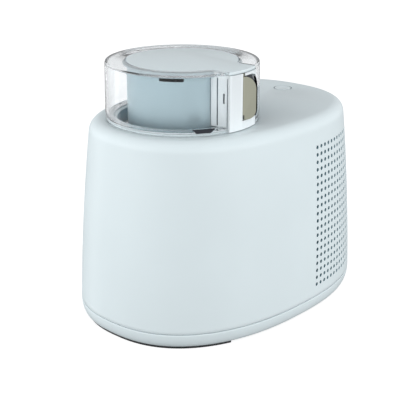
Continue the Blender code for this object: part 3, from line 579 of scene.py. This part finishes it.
def make_housing():
    """Shell with the perforated panels as real holes, an open well and a button hole in its flat top."""
    solid = bmesh.new()
    levels = [(SEAM_Z, 0.9), (SEAM_Z + 0.4, 0.35), (SEAM_Z + 0.9, 0.0), (SEAM_Z + 4.0, 0.0)]
    cells_from = FIRST_ROW_Z - ROW_PITCH / 2
    first_cell = len(levels)
    levels += [(cells_from + ROW_PITCH * i, 0.0) for i in range(HOLE_ROWS + 1)]
    levels += [(SHOULDER_Z - 6.0, 0.0), (SHOULDER_Z, 0.0)]
    outer = [[solid.verts.new(p) for p in wall_ring(z, inset)] for z, inset in levels]
    inner = [[solid.verts.new(p) for p in wall_ring(z, WALL)] for z, _ in levels]
    turn_steps = 9
    for loops, radius, start in ((outer, SHOULDER_R, 0.0), (inner, SHOULDER_R - WALL, WALL)):
        for i in range(1, turn_steps + 1):
            lift = math.pi / 2 * i / turn_steps
            z = SHOULDER_Z + radius * math.sin(lift)
            points = wall_ring(SHOULDER_Z, start + radius * (1 - math.cos(lift)))
            loops.append([solid.verts.new((x, y, z)) for x, y, _ in points])
    around = len(outer[0])
    half = around // 2
    _, holed = column_lines(SEAM_Z)
    hole_rows = range(first_cell, first_cell + HOLE_ROWS)
    for row in range(len(outer) - 1):
        for column in range(around):
            after = (column + 1) % around
            mirrored = column >= half
            cell = around - 1 - column if mirrored else column
            if row in hole_rows and cell in holed:
                continue
            for loops in (outer, inner):
                low, high = loops[row], loops[row + 1]
                face = solid.faces.new((low[column], low[after], high[after], high[column]))
                # The outer faces of the first row form the seam's lip: their dark grey is painted shade in
                # the seam
                face.material_index = 2 if row == 0 and loops is outer else 0
    for row in hole_rows:
        z = FIRST_ROW_Z + ROW_PITCH * (row - first_cell)
        for cell in holed:
            for mirror in (1.0, -1.0):
                near, far = (cell, cell + 1) if mirror > 0 else (around - cell, around - cell - 1)
                near %= around
                rims = []
                for inset, radius in ((0.0, HOLE_R + 0.25), (0.25, HOLE_R), (WALL, HOLE_R)):
                    rims.append(hole_ring(solid, cell, z, radius, inset, mirror))
                for loops, rim in ((outer, rims[0]), (inner, rims[2])):
                    low, high = loops[row], loops[row + 1]
                    holed_cell(solid, [high[far], high[near], low[near], low[far]], rim)
                ring_between(solid, rims[0], rims[1])
                ring_between(solid, rims[1], rims[2], 1)
    ring_between(solid, outer[0], inner[0])
    # The button hole's rim takes the dark grey (look 2): painted shade in the gap around the button
    openings = ((LID_X, WELL_HOLE_R, 1.0, 128, 0), (BUTTON_X, BUTTON_R + 0.4, 0.8, 48, 2))
    rims = []
    for centre_x, radius, edge, count, look in openings:
        profile = [(edge, 0.0), (edge * 0.3, -edge * 0.3), (0.0, -edge), (0.0, -WALL)]
        rims.append([circle(solid, centre_x, radius + x, BODY_TOP + z, count) for x, z in profile])
        for upper, lower in zip(rims[-1], rims[-1][1:]):
            ring_between(solid, upper, lower, look)
    for loop, level in ((outer[-1], 0), (inner[-1], -1)):
        boundary = loop_edges(loop)
        for opening in rims:
            boundary += loop_edges(opening[level])
        bmesh.ops.triangle_fill(solid, edges=boundary, use_beauty=True, use_dissolve=False)
    window = box((-14.4, 95.0, INLET_Z - 11.4), (14.4, 140.0, INLET_Z + 11.4))
    shell = carve(solid, [window])
    looks = (LOOKS["body_plastic"], HOLE_SHADE, GAP_SHADE_PAINT)
    piece("housing_shell", shell, "base", "body_plastic", replaces=["housing"], angle=40.0, looks=looks)


def screw_places():
    return [oval_point(math.radians(angle), 1.0, SCREW_INSET) for angle in (40.0, 140.0, 220.0, 320.0)]


def make_base():
    """Tray below the seam, with a side that rounds inwards, vents and screw recesses underneath."""
    count = 192
    angles = [math.tau * i / count for i in range(count)]
    rise = SEAM_Z - GAP - BASE_Z
    profile = []
    for i in range(13):
        angle = math.pi / 2 * i / 12
        profile.append((BASE_Z + rise * (1 - math.cos(angle)), BASE_INSET * (1 - math.sin(angle))))
    profile[-1] = (SEAM_Z - GAP - 0.7, 0.0)
    profile += [(SEAM_Z - GAP - 0.2, 0.25), (SEAM_Z - GAP, 0.8), (SEAM_Z - GAP, WALL)]
    profile += [(BASE_Z + 3.5, BASE_INSET + 3.0)]
    rings = [[(*oval_point(a, 1.0, inset), z) for a in angles] for z, inset in profile]
    cutters = []
    for x, y in screw_places():
        cutters.append(turned(disc(3.9, BASE_Z - 1.0, BASE_Z + 1.9), Matrix.Translation((x, y, 0.0))))
        cutters.append(turned(disc(1.9, BASE_Z, BASE_Z + 5.0, 16), Matrix.Translation((x, y, 0.0))))
    for column in range(5):
        x = 40.0 + 18.0 * column
        cutters.append(box((x - 4.0, -24.0, 0.0), (x + 4.0, 24.0, BASE_Z + 5.0), 3.9))
    pan = carve(skin(rings), cutters)
    piece("base_tray", pan, "base", "body_plastic", replaces=["base_pan"], angle=40.0)

    steps = 48
    bearings = [math.radians(180.0 + FOOT_HALF_ANGLE * (2 * i / steps - 1)) for i in range(steps + 1)]
    outer = [oval_point(angle, 1.0, BASE_INSET + 0.4) for angle in bearings]
    inner = [oval_point(angle, 1.0, BASE_INSET + 12.0) for angle in reversed(bearings)]
    foot = prism(outer + inner, 0.0, BASE_Z - GAP)
    piece("crescent_foot", foot, "base", "rubber", replaces=["front_foot"], bevel=0.5, angle=50.0)
    profile = rounded([(0.0, 0.0), (8.4, 0.0, 0.8), (9.0, 1.4), (9.0, 2.7, 0.3), (0.0, 2.7)], 0.4)
    for side, name in ((1, "left"), (-1, "right")):
        node = f"rear_foot_{name}"
        place = Matrix.Translation((104.0, side * 66.0, 0.0))
        piece(f"round_foot_{name}", lathe(profile, 48), "base", "rubber", place, [node])


def make_button():
    proud = BODY_TOP + 0.3
    skirt_z, under_z = 206.0, 211.5
    cap = [
        (0.0, under_z), (7.6, under_z), (7.6, skirt_z), (BUTTON_R, skirt_z), (BUTTON_R, proud, 0.5),
        (7.3, proud, 0.2), (7.0, proud - 0.35, 0.2), (0.0, proud - 0.45),
    ]
    place = Matrix.Translation((BUTTON_X, 0.0, 0.0))
    button = carve(lathe(rounded(cap, 0.2, 4), 64), [], [disc(1.8, 198.4, 212.5)])
    piece("button_cap", button, "button", "body_plastic", place, ["power_button"])


def make_inlet():
    """Mains socket with a rounded bezel, a deep recess and two pins."""
    low, high = INLET_Z - 11.0, INLET_Z + 11.0
    upright = Matrix.Rotation(math.radians(-90.0), 4, "X")

    def block(half_x, half_z, near, far, radius):
        corners = [(-half_x, -half_z), (half_x, -half_z), (half_x, half_z), (-half_x, half_z)]
        shape = prism(rounded(corners, radius, 6), near, far)
        return turned(turned(shape, upright), Matrix.Translation((0.0, 0.0, INLET_Z)))

    half = (high - low) / 2
    body = block(14.0, half, 100.0, 120.0, 3.0)
    recess = block(11.0, 7.5, 104.0, 125.0, 3.4)
    shape = carve(body, [recess])
    piece("mains_inlet", shape, "base", "black_plastic", replaces=["power_inlet"], bevel=0.4)
    for number, x in enumerate((-4.5, 4.5), 1):
        pin = turned(lying(disc(1.3, 102.0, 117.0, 20)), Matrix.Translation((x, 0.0, INLET_Z)))
        piece(f"inlet_pin_{number}", pin, "base", "steel", bevel=0.5)


# Well ----------------------------------------------------------------------------------------------

def make_well():
    outer = WELL_HOLE_R - GAP
    profile = [(67.8, 201.5), (outer, 201.5), (outer, BODY_TOP + GAP), (76.5, BODY_TOP + GAP, 0.2)]
    profile += [(76.5, COLLAR_TOP, 0.7), (67.8, COLLAR_TOP, 0.9)]
    collar = lathe(rounded(profile, 0.15), 160)
    looks = (LOOKS["body_plastic"], WELL_WALL_SHADE_PAINT)
    made = piece("well_ring", collar, "base", "body_plastic", WELL_PLACE, ["well_collar"], looks=looks)
    # The collar's inner wall takes the darker teal: painted shade where the well lies in shadow
    for face in made.data.polygons:
        centre = face.center / MM
        radius = math.hypot(centre.x - LID_X, centre.y)
        if radius < 68.2 and centre.z < COLLAR_TOP - 0.9:
            face.material_index = 1

    bowl = [
        (0.0, 82.0), (54.0, 82.0), (60.5, 84.5), (63.0, 91.0), (63.0, 201.5), (66.7, 201.5, 0.9),
        (66.7, 203.5, 0.9), (61.5, 203.5, 1.5), (61.5, 91.5), (59.3, 86.0), (53.5, 84.0), (5.0, 84.0),
        (4.0, 88.0), (0.0, 88.6),
    ]
    turned_bowl = lathe(rounded(bowl, 1.5, 4), 128)
    piece("mix_bowl", turned_bowl, "bowl", "aluminium", WELL_PLACE, ["ice_bowl"], angle=40.0)
    seal = [(72.2, 217.4), (76.2, 217.4), (76.2, 218.6), (72.2, 218.6)]
    piece("lid_gasket", lathe(rounded(seal, 0.4), 128), "seal", "silicone", WELL_PLACE, ["lid_seal"])


# Lid -----------------------------------------------------------------------------------------------

def arm_outline(radius, half, inner_r, steps=24):
    """Parallel-sided arm from the drum to the lid's rim, pointing along -Y."""
    edge = math.degrees(math.asin(half / radius))
    outer = arc((0.0, 0.0), radius, -90.0 - edge, -90.0 + edge, steps)
    edge = math.degrees(math.asin(half / inner_r))
    return outer + arc((0.0, 0.0), inner_r, -90.0 + edge, -90.0 - edge, steps)


def cap_outline(grow=0.0):
    """The cap's disc, blended by two fillets into the plate that covers the arm."""
    fillet = 6.0 - grow
    rim = LID_R - 0.9 + grow
    radius = CAP_R + grow
    half = ARM_HALF + grow
    centre_x = half + fillet
    centre_y = -math.sqrt((radius + fillet) ** 2 - centre_x**2)
    toward = math.degrees(math.atan2(-centre_y, -centre_x))
    start = math.degrees(math.atan2(centre_y, centre_x))
    outline = arc((0.0, 0.0), radius, start, 180.0 - start, 120)
    outline += arc((-centre_x, centre_y), fillet, 180.0 - toward, 0.0, 12)[1:]
    edge = math.degrees(math.asin(half / rim))
    outline += arc((0.0, 0.0), rim, -90.0 - edge, -90.0 + edge, 20)
    outline += arc((centre_x, centre_y), fillet, 180.0, toward, 12)[:-1]
    return outline


def inset_outline(outline, amount):
    """The outline moved inwards along its normals."""
    result = []
    count = len(outline)
    for i, point in enumerate(outline):
        before, after = Vector(outline[i - 1]), Vector(outline[(i + 1) % count])
        along = (after - before).normalized()
        result.append((point[0] - along.y * amount, point[1] + along.x * amount))
    return result


def lug_solid(grow, inner, outer):
    """Trapezium seen from outside, wider at its top, between two radii on the -Y side."""
    low, high = LUG_LOW - grow, LUG_HIGH + grow
    corners = [(-7.6, low), (7.6, low), (11.6, high), (-11.6, high)]
    grown = [(x + math.copysign(2.5 * grow, x), z) for x, z in corners]
    loop = rounded(grown, 0.5)
    return skin([[(x, depth, z) for x, z in loop] for depth in (-inner, -outer)])


def pocket_block(radii, last, inset):
    """The tab's pocket between two radii, up to a bearing in degrees, with its two far corners rounded."""
    inner, outer = radii
    first = math.degrees(TAB_AXIS_ANGLE) + 0.3 + inset
    bottom, top = TAB_LOW - 0.9 + 0.5 * inset, TAB_HIGH + 0.9 - 0.5 * inset
    steps = 40
    rings = []
    for i in range(steps + 1):
        share = 1 - (1 - i / steps) ** 1.6
        bearing = first + (last - first) * share
        from_end = math.radians(last - bearing) * LID_R
        drops = []
        for corner in POCKET_CORNERS:
            short = max(corner - from_end, 0.0)
            drop = corner - math.sqrt(max(corner**2 - short**2, 0.0))
            drops.append(min(drop, corner - 0.8))
        low, high = bottom + drops[0], top - drops[1]
        corners = ((inner, low), (outer, low), (outer, high), (inner, high))
        rings.append([(*polar(radius, math.radians(bearing)), z) for radius, z in corners])
    return skin(rings)


def make_cover():
    """Clear skirt with a rounded top and an inner ledge over the seal, open for the arm, tab and lug."""
    inside = LID_R - CLEAR_WALL
    profile = [
        (inside, LID_FOOT, 0.3), (LID_R, LID_FOOT, 0.6), (LID_R - 0.7, LID_TOP - 4.2),
        (LID_R - 1.0, LID_TOP, 2.6), (CAP_R + 0.4, LID_TOP, 0.3), (CAP_R + 0.4, LID_TOP - 2.4, 0.3),
        (inside - 0.6, LID_TOP - 2.4, 1.8),
        (inside, 220.6, 0.6), (71.0, 220.6, 0.4), (71.0, 218.9, 0.4), (inside, 218.9, 0.2),
    ]
    cutters = [
        box((-ARM_HALF - 0.4, -90.0, 210.0), (ARM_HALF + 0.4, -50.0, 280.0)),
        prism(cap_outline(0.4), 270.0, 280.0),
        turned(lug_solid(0.3, 70.0, 90.0), Matrix.Rotation(LUG_TURN, 4, "Z")),
        pocket_block((70.0, 90.0), POCKET_END, 0.0),
    ]
    cover = carve(lathe(rounded(profile, 0.0, 5), 192), cutters)
    skirt = piece("clear_skirt", cover, "lid", "clear_plastic", LID_PLACE, ["clear_cover"], angle=30.0)
    skirt.visible_shadow = False
    lug = turned(lug_solid(0.0, 76.6, 78.9), Matrix.Rotation(LUG_TURN, 4, "Z"))
    key = piece("lock_key", lug, "lid", "black_plastic", LID_PLACE, ["lock_lug"], bevel=0.3)
    key.visible_shadow = False


def make_drum():
    """Motor housing: a rounded foot, three slots below its rim and a flange under the clear rim."""
    top = LID_TOP - 3.5
    profile = [
        (7.3, DRUM_BOTTOM, 0.3), (DRUM_R, DRUM_BOTTOM, 7.0), (DRUM_R, top - 2.0, 0.5),
        (61.5, top - 2.0, 0.3), (61.5, top, 0.3), (DRUM_R - 2.0, top, 0.3),
        (DRUM_R - 2.0, DRUM_BOTTOM + 2.0, 5.0), (7.3, DRUM_BOTTOM + 2.0, 0.3),
    ]
    cutters = [prism(arm_outline(LID_R, ARM_HALF + 0.4, DRUM_R + 0.3), top - 2.4, top + 1.0)]
    for bearing in (88.5, 208.5, 328.5):
        loop = rounded([(-12.3, 264.3), (12.3, 264.3), (12.3, 268.9), (-12.3, 268.9)], 1.4)
        slot = skin([[(depth, y, z) for y, z in loop] for depth in (40.0, 70.0)])
        cutters.append(turned(slot, Matrix.Rotation(math.radians(bearing), 4, "Z")))
    drum = carve(lathe(rounded(profile, 0.3, 6), 192), cutters)
    looks = (LOOKS["drum_plastic"], LOOKS["black_plastic"])
    place = LID_PLACE
    made = piece("motor_drum", drum, "lid", "drum_plastic", place, ["drum_housing"], angle=40.0, looks=looks)
    # Faces inside the drum take the black: painted shade inside the drum, seen through the slots
    for face in made.data.polygons:
        centre = face.center / MM
        if math.hypot(centre.x - LID_X, centre.y) < DRUM_R - 0.5 and centre.z > DRUM_BOTTOM + 2.5:
            face.material_index = 1


def make_arm():
    """Hollow arm between the drum and the rim, with the tab's pocket and slots and grooves in its left side,
    whose walls are painted dark grey as shade.
    """
    top = LID_TOP - 3.6
    at_hinge = Matrix.Translation((*polar(TAB_AXIS_R, TAB_AXIS_ANGLE), 0.0))
    through, outside = -17.0, -24.0
    shallow = -ARM_HALF + 1.0
    slot_top = 241.0
    cutters = [
        ring(50.0, LID_R - CLEAR_WALL, LID_FOOT - 5.0, 219.2),
        box((-18.5, -72.0, 221.6), (18.5, -60.5, top + 1.0)),
        box((-9.4, -71.8, 210.0), (9.4, -67.0, 225.0)),
        pocket_block((POCKET_R, 90.0), POCKET_END, 0.0),
        box((outside, -62.3, 220.5), (through, -60.8, slot_top)),
        box((outside, -62.3, slot_top - 0.1), (shallow, -60.8, top - 3.0)),
        box((outside, -70.4, 243.5), (through, -68.4, 253.5)),
        box((outside, -73.8, LID_FOOT + 3.0), (shallow, -73.0, top - 3.0)),
        turned(disc(2.4, TAB_LOW - 0.9, top + 1.0), at_hinge),
        turned(disc(1.2, TAB_LOW - 3.4, TAB_LOW, 24), at_hinge),
    ]
    block = prism(arm_outline(LID_R, ARM_HALF, DRUM_R + 1.0), LID_FOOT, top)
    arm = carve(block, cutters)
    # Faces inside the left side's slots and grooves take the dark grey: painted shade in them
    for face in arm.faces:
        centre = face.calc_center_median()
        in_side_wall = -ARM_HALF + 0.05 < centre.x < through - 0.5
        if in_side_wall and -74.0 < centre.y < -60.7:
            face.material_index = 1
    looks = (LOOKS["white_plastic"], GAP_SHADE_PAINT)
    piece("lid_arm", arm, "lid", "white_plastic", LID_PLACE, ["arm_block"], bevel=0.2, looks=looks)


def make_cap():
    """Top cap with a rounded edge, whose upper rounding around the disc is painted darker as a shade line.
    """
    low, high = LID_TOP - 3.0, LID_TOP - 0.2
    outline = cap_outline()
    edge = [(0.25, low), (0.0, low + 0.3)]
    edge += [(0.0, high - 0.7), (0.1, high - 0.35), (0.35, high - 0.1), (0.7, high)]
    solid = skin([[(x, y, z) for x, y in inset_outline(outline, inset)] for inset, z in edge])
    # The upper rounding around the disc takes the dark grey: a painted shade line
    for face in solid.faces:
        centre = face.calc_center_median()
        on_disc = math.hypot(centre.x, centre.y) < LID_R - 5.0
        if on_disc and len(face.verts) == 4 and centre.z > high - 0.4:
            face.material_index = 1
    looks = (LOOKS["body_plastic"], GAP_SHADE_PAINT)
    piece("lid_cap", solid, "lid", "body_plastic", LID_PLACE, ["top_cap"], angle=50.0, looks=looks)


def make_tab():
    """Flat metal tab that rests slightly open on its upright pin, and the black lining of its pocket, a
    painted shade.
    """
    # Black lining behind the tab: a dark sheet that stands for the shade in the pocket
    pocket_shade_lining = pocket_block((POCKET_R + 0.3, POCKET_R + 1.4), POCKET_END - 0.6, 1.4)
    piece("tab_back_plate", pocket_shade_lining, "lid", "black_plastic", LID_PLACE, ["tab_backing"], angle=40.0)
    low_centre = (TAB_WIDTH - TAB_LOW_CORNER, TAB_LOW + TAB_LOW_CORNER)
    top_centre = (TAB_WIDTH - TAB_TOP_CORNER, TAB_HIGH - TAB_TOP_CORNER)
    outline = [(0.0, TAB_LOW), *arc(low_centre, TAB_LOW_CORNER, -90.0, 0.0, 16)]
    outline += [*arc(top_centre, TAB_TOP_CORNER, 0.0, 90.0, 24), (0.0, TAB_HIGH)]
    plate = skin([[(x, depth, z) for x, z in outline] for depth in (-1.8, 0.2)])
    barrel = disc(1.9, TAB_LOW + 5.0, TAB_HIGH)
    cutters = [disc(1.2, TAB_LOW, TAB_HIGH + 5.0, 24), disc(2.3, TAB_LOW - 1.0, TAB_LOW + 4.7, 24)]
    at_hinge = LID_PLACE @ Matrix.Translation((*polar(TAB_AXIS_R, TAB_AXIS_ANGLE), 0.0))
    place = at_hinge @ Matrix.Rotation(TAB_AXIS_ANGLE + math.pi / 2 - TAB_AJAR, 4, "Z")
    tab = carve(plate, cutters, [barrel])
    piece("gold_tab", tab, "tab", "gold_metal", place, ["thumb_tab"], bevel=0.4, angle=40.0)
    foot_z, shoulder_z, top_z = TAB_LOW - 3.0, TAB_HIGH + 0.4, TAB_HIGH + 3.0
    pin = [(0.0, foot_z), (0.9, foot_z, 0.3), (0.9, shoulder_z), (1.7, shoulder_z, 0.3)]
    pin += [(1.7, top_z, 0.5), (0.0, top_z)]
    piece("hinge_pin", lathe(rounded(pin, 0.1), 32), "lid", "gold_metal", at_hinge, ["tab_pin"])


def make_paddle():
    """Churning paddle: a hub, and an open frame with a rounded outline that scrapes the bowl."""
    hub = lathe(rounded([(0.0, 92.0), (8.0, 92.0, 1.0), (8.0, 199.0, 1.0), (0.0, 199.0)], 0.5), 48)
    reach, low_z, high_z = 60.3, 92.0, 176.0
    corners = [(-reach, low_z, 5.0), (reach, low_z, 5.0), (reach, high_z, 14.0), (-reach, high_z, 14.0)]
    plate = skin([[(x, y, z) for x, z in rounded(corners, 5.0, 8)] for y in (-2.0, 2.0)])
    cutters = []
    for side in (1, -1):
        for low, high in ((100.0, 130.0), (137.0, 166.0)):
            near, far = sorted((side * 13.0, side * 51.0))
            hole = rounded([(near, low), (far, low), (far, high), (near, high)], 8.0, 6)
            cutters.append(skin([[(x, y, z) for x, z in hole] for y in (-9.0, 9.0)]))
    cutters.append(disc(4.4, 189.0, 205.0))
    cutters.append(disc(4.8, 80.0, 96.0))
    shape = carve(hub, cutters, [plate])
    piece("churn_paddle", shape, "paddle", "nylon", LID_PLACE, ["paddle"], bevel=0.5, angle=40.0)


# Stage ---------------------------------------------------------------------------------------------

# Sky brightness by height of the direction, from straight down to straight up
SKY = ((-1.0, 0.05), (-0.15, 0.52), (0.05, 1.05), (0.35, 1.0), (1.0, 0.40))
# How much brighter the sky is to the left and right than in front and behind
SIDE_LIGHT = 0.4
# What the lights point at, in metres
LIGHT_TARGET = (0.0, 0.0, 0.12)
# Name, bearing and rise in degrees, distance and size in metres, power in watts, shown in reflections
SOFTBOXES = (
    ("left_softbox", 160.0, 14.0, 1.5, (1.1, 1.1), 10.0, False),
    ("right_softbox", -95.0, 14.0, 1.5, (1.1, 1.1), 10.5, False),
    ("edge_strip", 116.0, 0.0, 1.5, (0.30, 2.2), 2.0, True),
)


def stage_material():
    n = Nodes("studio_floor")
    tone = n.blend(n.noise(3.0), (0.38, 0.38, 0.385), (0.40, 0.40, 0.40))
    n.link(tone, n.shader.inputs["Base Color"])
    n.link(n.spread(n.noise(8.0), 0.6, 0.7), n.shader.inputs["Roughness"])
    n.shader.inputs["Emission Color"].default_value = (1.0, 1.0, 1.0, 1.0)
    n.shader.inputs["Emission Strength"].default_value = 0.80
    return n.material


def add_light(name, place, size, power, glossy):
    light = bpy.data.lights.new(name, "AREA")
    light.shape = "RECTANGLE"
    light.size, light.size_y = size
    light.energy = power
    lamp = bpy.data.objects.new(name, light)
    lamp.location = place
    lamp.rotation_mode = "QUATERNION"
    lamp.rotation_quaternion = (Vector(LIGHT_TARGET) - Vector(place)).to_track_quat("-Z", "Y")
    lamp.visible_glossy = glossy
    lamp.visible_transmission = glossy
    bpy.context.scene.collection.objects.link(lamp)


def make_stage():
    """White floor, a sky that is brightest near the horizon, and area lights on both sides."""
    solid = bmesh.new()
    bmesh.ops.create_grid(solid, x_segments=8, y_segments=8, size=6000.0)
    floor = to_object("studio_ground", solid)
    floor.data.materials.append(stage_material())
    floor.visible_diffuse = False
    floor.visible_glossy = False
    world = bpy.data.worlds.new("studio")
    world.use_nodes = True
    tree = world.node_tree
    place = tree.nodes.new("ShaderNodeTexCoord")
    split = tree.nodes.new("ShaderNodeSeparateXYZ")
    raised = tree.nodes.new("ShaderNodeMapRange")
    raised.inputs["From Min"].default_value = -1.0
    sky = tree.nodes.new("ShaderNodeValToRGB")
    tree.links.new(place.outputs["Generated"], split.inputs["Vector"])
    tree.links.new(split.outputs["Z"], raised.inputs["Value"])
    tree.links.new(raised.outputs["Result"], sky.inputs["Fac"])
    tree.links.new(sky.outputs["Color"], tree.nodes["Background"].inputs["Color"])
    across = tree.nodes.new("ShaderNodeMath")
    across.operation = "MULTIPLY"
    sides = tree.nodes.new("ShaderNodeMath")
    sides.operation = "MULTIPLY_ADD"
    sides.inputs[1].default_value = -2.0 * SIDE_LIGHT
    sides.inputs[2].default_value = 1.0
    tree.links.new(split.outputs["X"], across.inputs[0])
    tree.links.new(split.outputs["Y"], across.inputs[1])
    tree.links.new(across.outputs["Value"], sides.inputs[0])
    tree.links.new(sides.outputs["Value"], tree.nodes["Background"].inputs["Strength"])
    while len(sky.color_ramp.elements) < len(SKY):
        sky.color_ramp.elements.new(0.5)
    for stop, (height, level) in zip(sky.color_ramp.elements, SKY):
        stop.position = (height + 1) / 2
        stop.color = (0.97 * level, 0.985 * level, level, 1.0)
    bpy.context.scene.world = world
    for name, bearing, rise, distance, size, power, glossy in SOFTBOXES:
        flat = distance * math.cos(math.radians(rise))
        lift = distance * math.sin(math.radians(rise))
        place = (*polar(flat, math.radians(bearing)), LIGHT_TARGET[2] + lift)
        add_light(name, place, size, power, glossy)


def make_camera():
    lens = bpy.data.cameras.new("photo_camera")
    lens.lens = 88.56
    lens.sensor_width = 36.0
    lens.clip_start, lens.clip_end = 0.05, 50.0
    camera = bpy.data.objects.new("photo_camera", lens)
    camera.location = (-0.7840, -0.6765, 0.4822)
    bearing, pitch = math.radians(41.94), math.radians(19.95)
    view = Vector((*polar(math.cos(pitch), bearing), -math.sin(pitch)))
    camera.rotation_mode = "QUATERNION"
    camera.rotation_quaternion = view.to_track_quat("-Z", "Y")
    bpy.context.scene.collection.objects.link(camera)
    bpy.context.scene.camera = camera
    bpy.context.scene.view_settings.view_transform = "Standard"


def dress_frame():
    """The carried-over CAD nodes take the procedural material of their slot."""
    for row in frame["record"]["subparts"]:
        surface = frame["nodes"][row["node"]].data.materials
        surface.clear()
        surface.append(LOOKS[row["material_slot"]])


dress_frame()
make_housing()
make_base()
make_button()
make_inlet()
make_well()
make_cover()
make_drum()
make_arm()
make_cap()
make_tab()
make_paddle()
make_stage()
make_camera()

bpy.context.view_layer.update()
